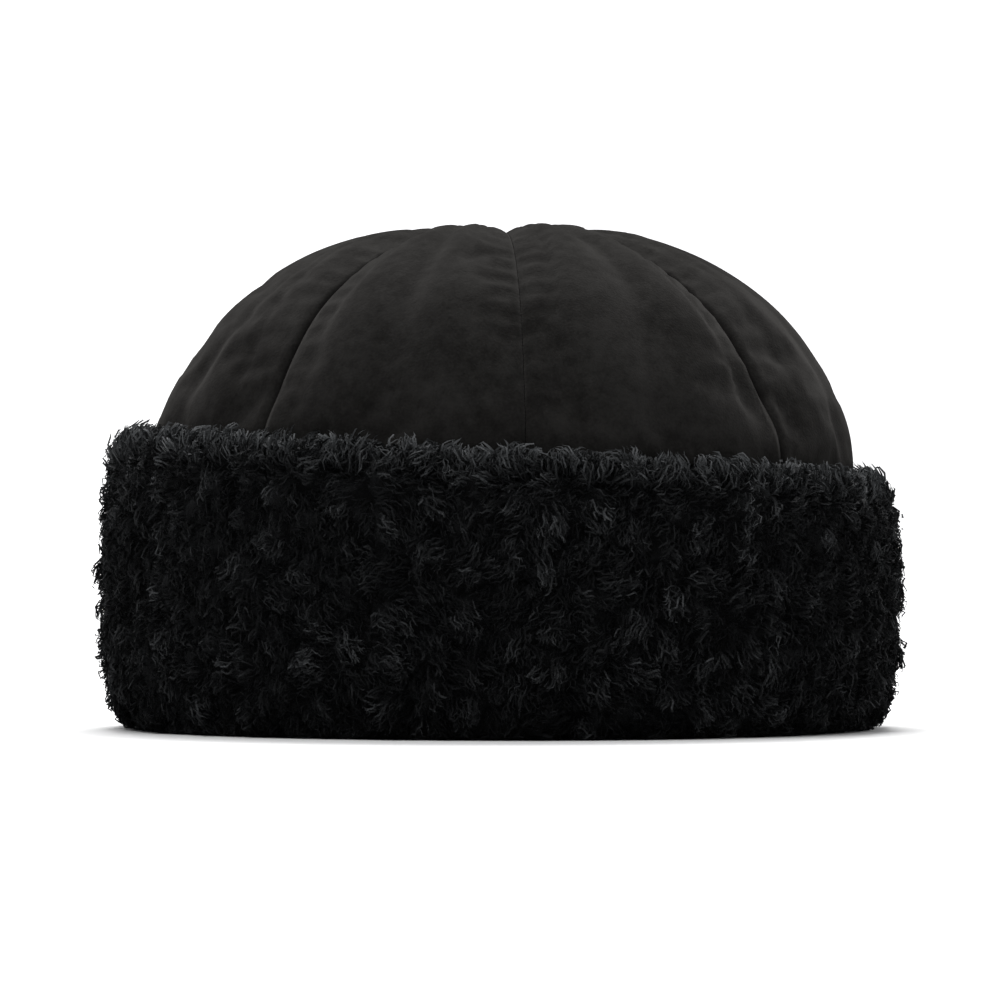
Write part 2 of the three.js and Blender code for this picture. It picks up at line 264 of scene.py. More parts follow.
class Shader:
    """A material under construction."""

    def __init__(self, name: str) -> None:
        """Starts an empty material with one Principled surface.

        Args:
            name: the material's name.
        """
        self.material = bpy.data.materials.new(name)
        self.material.use_nodes = True
        self.tree = self.material.node_tree
        self.surface = self.tree.nodes["Principled BSDF"]

    def node(self, kind: str, settings: dict | None = None, sockets: dict | None = None,
             out: int | str = 0) -> Wire:
        """Adds a node.

        Args:
            kind: the node's type.
            settings: its own settings, such as a Math node's operation.
            sockets: values or wires for its inputs, by name or number.
            out: which output to hand on.

        Returns:
            The wire of that output.
        """
        made = self.tree.nodes.new(kind)
        for key, value in (settings or {}).items():
            setattr(made, key, value)
        for key, value in (sockets or {}).items():
            if isinstance(value, Wire):
                self.tree.links.new(value.socket, made.inputs[key])
            else:
                made.inputs[key].default_value = value
        return Wire(self, made.outputs[out])

    def place(self) -> Wire:
        """Gives the Object coordinates."""
        return self.node("ShaderNodeTexCoord", out="Object")

    def noise(self, scale: float, detail: float = 3, rough: float = 0.55, distortion: float = 0) -> Wire:
        """Gives a noise between 0 and 1.

        Args:
            scale: how many lumps it has in a metre.
            detail: how many finer layers it has.
            rough: how strong the finer layers are.
            distortion: how much its lumps are swirled.

        Returns:
            The noise's wire.
        """
        sockets = {"Vector": self.place(), "Scale": scale, "Detail": detail, "Roughness": rough}
        sockets["Distortion"] = distortion
        return self.node("ShaderNodeTexNoise", None, sockets)

    def attribute(self, name: str) -> Wire:
        """Reads a number that the mesh holds."""
        return self.node("ShaderNodeAttribute", {"attribute_name": name}, out="Fac")

    def colour(self, share: Wire, low: Sequence[float], high: Sequence[float]) -> Wire:
        """Blends two colours by a wire."""
        settings = {"data_type": "RGBA"}
        return self.node("ShaderNodeMix", settings, {0: share, 6: (*low, 1), 7: (*high, 1)}, out=2)

    def bump(self, height: Wire, strength: float, distance: float) -> Wire:
        """Turns a height into a normal; distance is in metres."""
        sockets = {"Height": height, "Strength": strength, "Distance": distance}
        return self.node("ShaderNodeBump", None, sockets)

    def dress(self, **sockets: "Wire | float | tuple") -> bpy.types.Material:
        """Sets the surface's sockets.

        Args:
            sockets: values or wires by the sockets' names, an underscore for each space.

        Returns:
            The material.
        """
        for key, value in sockets.items():
            socket = self.surface.inputs[key.replace("_", " ")]
            if isinstance(value, Wire):
                self.tree.links.new(value.socket, socket)
            else:
                socket.default_value = value
        return self.material


@dataclass(frozen=True)
class SuedeFinish:
    """Matt black suede whose nap lies lighter and darker in patches; scales are lumps in a metre."""

    name: str = Slot.CROWN_SUEDE.value
    deep: tuple[float, float, float] = (0.0040, 0.0038, 0.0036)
    brushed: tuple[float, float, float] = (0.0112, 0.0108, 0.0103)
    patch_scale: float = 42
    stroke_scale: float = 252
    grain_scale: float = 1400
    roughness: float = 1.0

    def build(self) -> bpy.types.Material:
        """Makes the material.

        Returns:
            The material.
        """
        s = Shader(self.name)
        patches = s.noise(self.patch_scale, 4, 0.6)
        flecks = s.noise(self.grain_scale, 2, 0.6)
        strokes = s.noise(self.stroke_scale, 3, 0.65)
        nap = patches * 0.5 + strokes * 0.3 + flecks * 0.2
        colour = s.colour(nap.ramp(0.36, 0.66), self.deep, self.brushed)
        height = flecks * 0.6 + strokes * 0.4
        return s.dress(
            Base_Color=colour,
            Roughness=self.roughness,
            Specular_IOR_Level=0.0,
            Sheen_Weight=0.03,
            Sheen_Roughness=0.5,
            Sheen_Tint=(0.9, 0.87, 0.84, 1),
            Normal=s.bump(height, 0.55, 0.0004),
        )


@dataclass(frozen=True)
class WoolFinish:
    """Black wool: each lock has its own tone, darker towards its root as painted shade, and fine swirled
    fibres.
    """

    name: str = Slot.CUFF_WOOL.value
    # root and tip are the colours at the two ends of the tone, which carries painted shade and painted rim
    # light
    root: tuple[float, float, float] = (0.0003, 0.0003, 0.00033)
    tip: tuple[float, float, float] = (0.0440, 0.0460, 0.0478)
    roughness: float = 0.7
    fibre_scale: float = 1100
    strand_scale: float = 520
    lightness: float = 0.42
    contrast: float = 1.6

    def build(self) -> bpy.types.Material:
        """Makes the material.

        Returns:
            The material.
        """
        s = Shader(self.name)
        tone = s.attribute("tone")
        strands = s.noise(self.strand_scale, 2, 0.5, distortion=5)
        fibres = s.noise(self.fibre_scale, 3, 0.7, distortion=2.4)
        share = tone * (0.25 + 0.7 * strands.ramp(0.3, 0.7) + 0.8 * fibres.ramp(0.3, 0.7))
        return s.dress(
            Base_Color=s.colour(self.lightness * share ** self.contrast, self.root, self.tip),
            Roughness=self.roughness,
            Specular_IOR_Level=0.05,
            Sheen_Weight=0.02,
            Sheen_Roughness=0.4,
            Sheen_Tint=(0.85, 0.92, 1.0, 1),
            Normal=s.bump(fibres * 0.55 + strands * 0.45, 0.9, 0.0013),
        )


@dataclass(frozen=True)
class GroundFinish:
    """The plain pale floor."""

    name: str = "pale_floor"
    dim: tuple[float, float, float] = (0.50, 0.50, 0.50)
    bright: tuple[float, float, float] = (0.53, 0.53, 0.53)

    def build(self) -> bpy.types.Material:
        """Makes the material.

        Returns:
            The material.
        """
        s = Shader(self.name)
        colour = s.colour(s.noise(3, 2).ramp(0.2, 0.8), self.dim, self.bright)
        return s.dress(Base_Color=colour, Roughness=0.9, Specular_IOR_Level=0.0)


class Piece:
    """Helpers that every sub-assembly shares."""

    @staticmethod
    def select_only(piece: bpy.types.Object) -> None:
        """Selects one object and nothing else.

        Args:
            piece: the object.
        """
        bpy.ops.object.select_all(action="DESELECT")
        piece.select_set(True)
        bpy.context.view_layer.objects.active = piece

    @staticmethod
    def mesh(name: str, points: np.ndarray, faces: np.ndarray, tone: np.ndarray) -> bpy.types.Object:
        """Makes an object of points in mm and of faces with equal numbers of corners.

        Args:
            name: the piece's name.
            points: an array of n points.
            faces: an array of corner numbers, a row for each face.
            tone: a number for each point, kept in the mesh for the shader.

        Returns:
            The object, smooth shaded, at the origin.
        """
        mesh = bpy.data.meshes.new(name)
        mesh.vertices.add(len(points))
        mesh.vertices.foreach_set("co", (points * MM).astype(np.float32).ravel())
        corners = faces.shape[1]
        mesh.loops.add(faces.size)
        mesh.loops.foreach_set("vertex_index", faces.astype(np.int32).ravel())
        mesh.polygons.add(len(faces))
        mesh.polygons.foreach_set("loop_start", np.arange(len(faces), dtype=np.int32) * corners)
        mesh.update(calc_edges=True)
        mesh.validate()
        mesh.polygons.foreach_set("use_smooth", np.ones(len(mesh.polygons), dtype=bool))
        held = mesh.attributes.new("tone", "FLOAT", "POINT")
        held.data.foreach_set("value", tone.astype(np.float32))
        made = bpy.data.objects.new(name, mesh)
        bpy.context.scene.collection.objects.link(made)
        return made

    @staticmethod
    def ring_faces(rings: int, columns: int, flip: bool = False) -> np.ndarray:
        """Gives the faces of a skin laid over rings of points, its last ring joined to its first.

        Args:
            rings: how many rings.
            columns: how many points each ring has.
            flip: whether the faces look the other way.

        Returns:
            Corner numbers, a row of four for each face.
        """
        a = np.arange(rings * columns).reshape(rings, columns)
        b = np.roll(a, -1, axis=1)
        corners = [a, b, np.roll(b, -1, axis=0), np.roll(a, -1, axis=0)]
        if flip:
            corners = [a, *corners[:0:-1]]
        return np.stack(corners, axis=-1).reshape(-1, 4)

    @staticmethod
    def settle(piece: bpy.types.Object, slot: Slot, material: bpy.types.Material, *nodes: str) -> None:
        """Dresses a piece, rides it on the hat and hides the solids that it stands for.

        Args:
            piece: the piece.
            slot: the part of the hat whose colour it takes; not used.
            material: its finish.
            nodes: the solids that it replaces, if any.
        """
        piece.data.materials.clear()
        piece.data.materials.append(material)
        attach(piece, "root")
        if nodes:
            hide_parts(*nodes)
        LOG.info("%s: %d faces", piece.name, len(piece.data.polygons))


@dataclass
class Dome:
    """The crown's form, which its suede and its lining share; sizes in mm, azimuths in degrees."""

    profile: tuple[tuple[float, float], ...] = (
        (97.4, 15.4), (99.3, 44), (101.2, 72), (100.4, 87), (93, 103),
        (80, 119.5), (61, 133), (40, 141.2), (19, 144.3), (0, 145),
    )
    seams: tuple[float, ...] = (-3, 43, 88, 134, 179, 223, 268, 313)
    seam_depths: tuple[float, ...] = (3.2, 4.6, 3.6, 4.0, 3.4, 4.2, 3.6, 3.8)
    crease_depths: tuple[float, ...] = (1.7, 1.4, 1.8, 1.2, 1.6, 1.5, 1.3, 1.9)
    seam_half_spread: float = 0.6
    crease_spread: float = 0.13
    puff_starts: float = 0.295
    puff_full: float = 0.42
    seams_meet_from: float = 0.86
    middle_sink: float = 3
    tip_half_width: float = 1.2
    skin: float = 2
    curve: Profile = field(init=False)

    def __post_init__(self) -> None:
        """Makes the dome's curve."""
        self.curve = Profile(Profile.catmull(self.profile))

    def seam(self, index: int) -> float:
        """Gives the azimuth of a seam, counted on past the last one."""
        return self.seams[index % len(self.seams)] + 360 * (index // len(self.seams))

    def sink(self, index: int, across: np.ndarray, share: np.ndarray) -> np.ndarray:
        """Says how far the suede sinks below the dome.

        Args:
            index: the gore's number, from 0.
            across: shares across the gore.
            share: shares of the way up.

        Returns:
            Depths in mm.
        """
        after = (index + 1) % len(self.seams)
        seam = mix(self.seam_depths[index], self.seam_depths[after], across)
        in_seam = 1 - np.sin(np.pi * np.clip(across, 0, 1)) ** self.seam_half_spread
        in_crease = np.exp(-(((across - 0.5) / self.crease_spread) ** 2))
        sunk = seam * in_seam + self.crease_depths[index] * in_crease
        shown = smoothstep(share, self.puff_starts, self.puff_full)
        return shown * mix(sunk, self.middle_sink, smoothstep(share, self.seams_meet_from, 1))

    def frame(self, share: np.ndarray, azimuth: np.ndarray) -> tuple[np.ndarray, np.ndarray, np.ndarray]:
        """Reads the dome.

        Args:
            share: shares of the way up.
            azimuth: turns from the front, in radians.

        Returns:
            The places in mm, and the unit ways out of the dome and up along it.
        """
        half, height, slope = self.curve.at(share)
        outward, upward = OVAL.ways(np.maximum(half, self.tip_half_width), slope, azimuth)
        return OVAL.point(half, height, azimuth), outward, upward

    def point(self, share: np.ndarray, azimuth: np.ndarray, depth: np.ndarray) -> np.ndarray:
        """Gives points in mm at a depth under the dome."""
        place, outward, _ = self.frame(share, azimuth)
        return place - outward * np.asarray(depth)[..., None]


@dataclass
class SuedeCrown(Piece):
    """Eight gores of suede over the dome, each puffed by the wool behind it.

    Sizes are in mm. Shares are of the way up the dome, and shares across are of a gore's width.
    """

    dome: Dome
    seam_gap: float = 0.12
    tip_gap: float = 0.3
    hem_share: float = 0.16
    held_share: float = 0.27
    sewn_from_share: float = 0.985
    across_faces: int = 36
    up_faces: int = 72
    gather_depth: float = 0.06
    gather_step: float = 8.5
    gather_reach_across: float = 0.12
    dent_depth: float = 0.4
    dent_step: float = 34
    cloth_quality: int = 6
    sheet_mass: float = 0.4
    stretch_stiffness: float = 18
    shear_stiffness: float = 8
    bending_stiffness: float = 1.2
    pressure: float = 0.9
    ease: float = 0.015
    frames: int = 20
    cap: float = 4.5
    puff_fades: tuple[float, float] = (0.78, 0.94)
    folds: int = 3
    fold_first_across: float = 0.2
    fold_step_across: float = 0.3
    fold_depth: float = 0.8
    fold_depth_scatter: float = 0.4
    fold_reach_across: float = 0.04
    fold_reach_scatter: float = 0.015
    folds_fade: tuple[float, float] = (0.84, 0.97)

    def sheet(self, index: int) -> tuple[bpy.types.Object, np.ndarray, np.ndarray]:
        """Lays a grid on the dome as one gore.

        Args:
            index: the gore's number, from 0.

        Returns:
            The sheet, and each vertex's share across it and up it.
        """
        bpy.ops.object.select_all(action="DESELECT")
        faces = {"x_subdivisions": self.across_faces, "y_subdivisions": self.up_faces}
        bpy.ops.mesh.primitive_grid_add(size=1, **faces)
        sheet = bpy.context.active_object
        sheet.name = f"suede_gore_{index + 1}"
        flat = np.empty(len(sheet.data.vertices) * 3, dtype=np.float32)
        sheet.data.vertices.foreach_get("co", flat)
        across, up = (flat.reshape(-1, 3)[:, k].astype(float) + 0.5 for k in (0, 1))
        share = mix(self.hem_share, 1 - self.tip_gap / self.dome.curve.length(), up)
        half = np.maximum(self.dome.curve.at(share)[0], self.dome.tip_half_width)
        start, end = self.dome.seam(index), self.dome.seam(index + 1)
        azimuth = np.radians(mix(start, end, across)) + self.seam_gap / 2 / half * (1 - 2 * across)
        depth = self.dome.sink(index, across, share)
        points = self.dome.point(share, azimuth, depth + self.gathers(index, across, share))
        sheet.data.vertices.foreach_set("co", (points * MM).astype(np.float32).ravel())
        sheet.data.update()
        return sheet, across, share

    def gathers(self, index: int, across: np.ndarray, share: np.ndarray) -> np.ndarray:
        """Works out the slight gathers beside the seams and the soft dents of a gore.

        Args:
            index: the gore's number, from 0.
            across: shares across the gore.
            share: shares of the way up.

        Returns:
            Depths in mm.
        """
        along = share * self.dome.curve.length()
        near = np.minimum(across, 1 - across)
        side = np.where(across < 0.5, 0.0, 2.1)
        shown = smoothstep(share, self.dome.puff_starts, self.dome.puff_full)
        shown = shown * (1 - smoothstep(share, 0.9, 1))
        fade = np.exp(-((near / self.gather_reach_across) ** 2)) * smoothstep(near, 0, 0.03)
        waver = 1.7 * index + side + 1.3 * np.sin(along / 21 + index)
        ripple = np.sin(along / self.gather_step * 2 * np.pi + waver)
        dents = np.sin(along / self.dent_step + 2.2 * index + 3 * across) * np.sin(6 * across + index)
        return shown * (self.gather_depth * fade * ripple + self.dent_depth * dents * np.sin(np.pi * across))

    def puff(self, sheet: bpy.types.Object, across: np.ndarray, share: np.ndarray) -> None:
        """Lets the suede, held along its seams, swell and pucker as cloth does, then fixes that form.

        Args:
            sheet: the gore's sheet.
            across: each vertex's share across the gore.
            share: each vertex's share of the way up.
        """
        held = sheet.vertex_groups.new(name="sewn")
        near = np.minimum(across, 1 - across)
        sewn = (near < 0.5 / self.across_faces) | (share < self.held_share) | (share > self.sewn_from_share)
        held.add([int(v) for v in np.nonzero(sewn)[0]], 1.0, "REPLACE")
        before = np.empty(len(sheet.data.vertices) * 3, dtype=np.float32)
        sheet.data.vertices.foreach_get("co", before)
        cloth = sheet.modifiers.new("cloth", "CLOTH")
        facts = cloth.settings
        facts.vertex_group_mass = held.name
        facts.quality = self.cloth_quality
        facts.mass = self.sheet_mass
        facts.tension_stiffness = facts.compression_stiffness = self.stretch_stiffness
        facts.shear_stiffness = self.shear_stiffness
        facts.bending_stiffness = self.bending_stiffness
        facts.shrink_min = -self.ease
        facts.use_pressure = True
        facts.uniform_pressure_force = self.pressure
        facts.effector_weights.gravity = 0
        cloth.collision_settings.use_collision = False
        cloth.point_cache.frame_start = 1
        cloth.point_cache.frame_end = self.frames
        for frame_number in range(1, self.frames + 1):
            bpy.context.scene.frame_set(frame_number)
        self.select_only(sheet)
        bpy.ops.object.modifier_apply(modifier=cloth.name)
        bpy.context.scene.frame_set(1)
        after = np.empty_like(before)
        sheet.data.vertices.foreach_get("co", after)
        before, after = before.reshape(-1, 3), after.reshape(-1, 3)
        move = after - before
        far = np.linalg.norm(move, axis=1)
        limit = self.cap * MM
        below_top = 1 - smoothstep(share, *self.puff_fades)
        kept = before + move * (below_top * limit * np.tanh(far / limit) / np.maximum(far, 1e-9))[:, None]
        sheet.data.vertices.foreach_set("co", kept.astype(np.float32).ravel())
        sheet.data.update()
        LOG.info("%s: the cloth moved %.1f mm at most", sheet.name, far.max() / MM)

    def fold(self, sheet: bpy.types.Object, index: int, across: np.ndarray, share: np.ndarray) -> None:
        """Presses the soft folds that run up a gore into it.

        Args:
            sheet: the gore's sheet.
            index: the gore's number, from 0.
            across: each vertex's share across the gore.
            share: each vertex's share of the way up.
        """
        depth = np.zeros_like(share)
        for number in range(self.folds):
            seed = self.folds * index + number
            middle = self.fold_first_across + self.fold_step_across * number + 0.07 * scatter(seed)
            middle = middle + 0.05 * np.sin(9 * share + 2.1 * seed)
            reach = self.fold_reach_across + self.fold_reach_scatter * scatter(seed + 0.5)
            deep = self.fold_depth + self.fold_depth_scatter * scatter(seed + 0.7)
            depth += deep * np.exp(-(((across - middle) / reach) ** 2))
        shown = smoothstep(share, self.dome.puff_starts, self.dome.puff_full)
        depth *= shown * (1 - smoothstep(share, *self.folds_fade))
        points, normals = np.empty((2, len(share) * 3), dtype=np.float32)
        sheet.data.vertices.foreach_get("co", points)
        sheet.data.vertices.foreach_get("normal", normals)
        pressed = points - normals * np.repeat(depth * MM, 3)
        sheet.data.vertices.foreach_set("co", pressed.astype(np.float32))
        sheet.data.update()

    def gore(self, index: int) -> bpy.types.Object:
        """Models one gore.

        Args:
            index: its number, from 0.

        Returns:
            The gore, a skin with both sides and its edges.
        """
        sheet, across, share = self.sheet(index)
        self.puff(sheet, across, share)
        self.fold(sheet, index, across, share)
        wall = sheet.modifiers.new("wall", "SOLIDIFY")
        wall.thickness = self.dome.skin * MM
        wall.offset = -1
        self.select_only(sheet)
        bpy.ops.object.modifier_apply(modifier=wall.name)
        bpy.ops.object.shade_smooth()
        return sheet

    def build(self, finish: SuedeFinish) -> None:
        """Makes all the gores.

        Args:
            finish: their suede.
        """
        suede = finish.build()
        for index in range(len(self.dome.seams)):
            self.settle(self.gore(index), Slot.CROWN_SUEDE, suede, f"crown_gore_{index + 1}")


Surface = Callable[[np.ndarray, np.ndarray], tuple[np.ndarray, np.ndarray, np.ndarray, np.ndarray]]


@dataclass
class Tufts:
    """Where the tufts of a fleece stand; a row for each tuft."""

    share: np.ndarray
    azimuth: np.ndarray
    turn: np.ndarray
    upright: np.ndarray
    height: np.ndarray
    size: np.ndarray
    tone: np.ndarray


@dataclass
class Fleece:
    """Grows wool as tufts of fine crimped locks that arch over; lengths in mm.

    The rise is how far a lock leans from upright at its root and at its tip, in degrees. The
    scatters are spreads of random draws, those of bend and phase in radians.
    """

    surface: Surface
    surface_length: float
    surface_half: float
    length: float = 5.2
    width: float = 0.46
    crimp: float = 0.55
    waves: float = 1.6
    rise: tuple[float, float] = (-8, 150)
    gather: float = 0.34
    per_tuft: int = 13
    reach: float = 2.5
    # painted shade: a lock's tone at its root, deep in the pile, against 1 at its tip
    painted_root_shade: float = 0.3
    stations: tuple[float, ...] = (0, 0.3, 0.58, 0.84)
    girths: tuple[float, ...] = (0.8, 1.0, 1.05, 0.85)
    sizes: tuple[float, float] = (0.75, 1.15)
    root_dip: float = 0.12
    out_scatter: float = 0.1
    lean_scatter: float = 0.45
    bend_scatter: float = 0.32
    phase_scatter: float = 0.6
    tone_scatter: float = 0.32
    tones: tuple[float, float] = (0.05, 6)
    gather_power: float = 1.2
    twist: float = 0.9

    def axis(self, roots: np.ndarray, normals: np.ndarray, lays: np.ndarray, length: np.ndarray,
             wander: np.ndarray) -> list[np.ndarray]:
        """Follows the arched middle line of locks or tufts.

        Args:
            roots: where they stand.
            normals: the ways out of the surface.
            lays: the ways they lean.
            length: their lengths.
            wander: an extra bend for each, in radians.

        Returns:
            Their points at each station and at the tip, an array for each.
        """
        at = roots
        line = [at]
        marks = (*self.stations, 1.0)
        for low, high in zip(marks, marks[1:]):
            bend = np.radians(mix(*self.rise, (low + high) / 2)) + wander
            forward = normals * np.cos(bend)[..., None] + lays * np.sin(bend)[..., None]
            at = at + forward * (length * (high - low))[..., None]
            line.append(at)
        return line

    @staticmethod
    def laid(lay: np.ndarray, normal: np.ndarray) -> np.ndarray:
        """Turns the directions in which locks lie into the surface."""
        return unit(lay - normal * (lay * normal).sum(-1, keepdims=True))

    def crowns(self, tufts: Tufts) -> np.ndarray:
        """Finds the middle of each tuft's arch, where the wool stands highest.

        Args:
            tufts: where the tufts stand.

        Returns:
            A point for each tuft.
        """
        root, normal, upward, around = self.surface(tufts.share, tufts.azimuth)
        lay = self.lay(tufts, upward, around)
        root = root + normal * tufts.height[:, None]
        return self.axis(root, normal, lay, self.length * tufts.size, np.zeros(len(root)))[3]

    @staticmethod
    def lay(tufts: Tufts, upward: np.ndarray, around: np.ndarray) -> np.ndarray:
        """Gives the way each tuft leans: up or down the surface, turned by its own angle."""
        along = upward * tufts.upright[:, None]
        return unit(along * np.cos(tufts.turn)[:, None] + around * np.sin(tufts.turn)[:, None])

    def grow(self, tufts: Tufts, draw: np.random.Generator) -> tuple[np.ndarray, np.ndarray, np.ndarray]:
        """Makes the locks as thin ribbons that arch, crimp and draw together in each tuft.

        Args:
            tufts: where the tufts stand.
            draw: the source of random numbers.

        Returns:
            The points and tones of each lock, and the triangles of one lock.
        """
        count, per = len(tufts.share), self.per_tuft
        root, normal, upward, around = self.surface(tufts.share, tufts.azimuth)
        lay = self.lay(tufts, upward, around)
        lifted = root + normal * tufts.height[:, None]
        middle = self.axis(lifted, normal, lay, self.length * tufts.size, np.zeros(count))
        reach = self.reach * np.sqrt(draw.random((count, per)))
        angle = draw.uniform(0, 2 * np.pi, (count, per))
        share = np.clip(tufts.share[:, None] + reach * np.sin(angle) / self.surface_length, 0.002, 0.998)
        azimuth = tufts.azimuth[:, None] + reach * np.cos(angle) / self.surface_half
        place, out, _, _ = self.surface(share, azimuth)
        place = place + out * (tufts.height[:, None] - self.root_dip * reach)[..., None]
        out = unit(out + self.out_scatter * draw.normal(0, 1, out.shape))
        lean = self.laid(lay[:, None] + self.lean_scatter * draw.normal(0, 1, out.shape), out)
        size = tufts.size[:, None] * draw.uniform(*self.sizes, (count, per))
        wander = draw.normal(0, self.bend_scatter, (count, per))
        lines = self.axis(place, out, lean, self.length * size, wander)
        tone = np.clip(tufts.tone[:, None] * draw.normal(1, self.tone_scatter, (count, per)), *self.tones)
        phase = draw.uniform(0, 2 * np.pi, (count, 1)) + draw.normal(0, self.phase_scatter, (count, per))
        hand = np.where(draw.random((count, 1)) < 0.5, -1.0, 1.0)
        across = np.cross(out, lean)
        flat = draw.uniform(0, 2 * np.pi, (count, per))
        points, tones = [], []
        for k, (mark, line, spine) in enumerate(zip((*self.stations, 1.0), lines, middle)):
            bend = np.radians(mix(*self.rise, mark))
            through = out * np.sin(bend) - lean * np.cos(bend)
            spin = phase + hand * 2 * np.pi * self.waves * mark
            swing = across * np.cos(spin)[..., None] + through * np.sin(spin)[..., None]
            centre = mix(line, spine[:, None], self.gather * mark**self.gather_power)
            centre = centre + swing * self.crimp * (0.4 + 0.6 * mark)
            if k == len(self.stations):
                points.append(centre)
                tones.append(tone)
                break
            face = flat + self.twist * mark
            edge = across * np.cos(face)[..., None] + through * np.sin(face)[..., None]
            edge = edge * (self.width / 2 * self.girths[k] * size)[..., None]
            points += [centre - edge, centre + edge]
            # painted shade: each lock darkens towards its root
            tones += [tone * mix(self.painted_root_shade, 1, mark)] * 2
        points = np.stack(points, axis=2).reshape(count * per, -1, 3)
        tones = np.stack(tones, axis=2).reshape(count * per, -1)
        return points, tones, self.lock_faces()

    def lock_faces(self) -> np.ndarray:
        """Gives the triangles of one lock.

        Returns:
            Corner numbers, a row for each triangle.
        """
        faces = []
        for k in range(0, 2 * len(self.stations) - 2, 2):
            faces += [(k, k + 1, k + 3), (k, k + 3, k + 2)]
        last = 2 * len(self.stations)
        return np.array([*faces, (last - 2, last - 1, last)])

    @staticmethod
    def join(points: np.ndarray, tones: np.ndarray, one: np.ndarray,
             chosen: np.ndarray) -> tuple[np.ndarray, np.ndarray, np.ndarray]:
        """Gathers the chosen locks into one mesh.

        Args:
            points: the points of each lock.
            tones: their tones.
            one: the triangles of one lock.
            chosen: the numbers of the locks to take.

        Returns:
            The points, triangles and tones of the mesh.
        """
        starts = np.arange(len(chosen)) * points.shape[1]
        faces = (one[None] + starts[:, None, None]).reshape(-1, 3)
        return points[chosen].reshape(-1, 3), faces, tones[chosen].ravel()


def nearest(places: np.ndarray, marks: np.ndarray) -> tuple[np.ndarray, np.ndarray]:
    """Finds the nearest mark to each place.

    Args:
        places: points in mm.
        marks: the points to find.

    Returns:
        The number of the nearest mark, and how far it is, in the shape of the places.
    """
    tree = kdtree.KDTree(len(marks))
    for index, mark in enumerate(marks):
        tree.insert(mark, index)
    tree.balance()
    found = [tree.find(place)[1:] for place in places.reshape(-1, 3)]
    number, far = (np.array(column).reshape(places.shape[:-1]) for column in zip(*found))
    return number, far


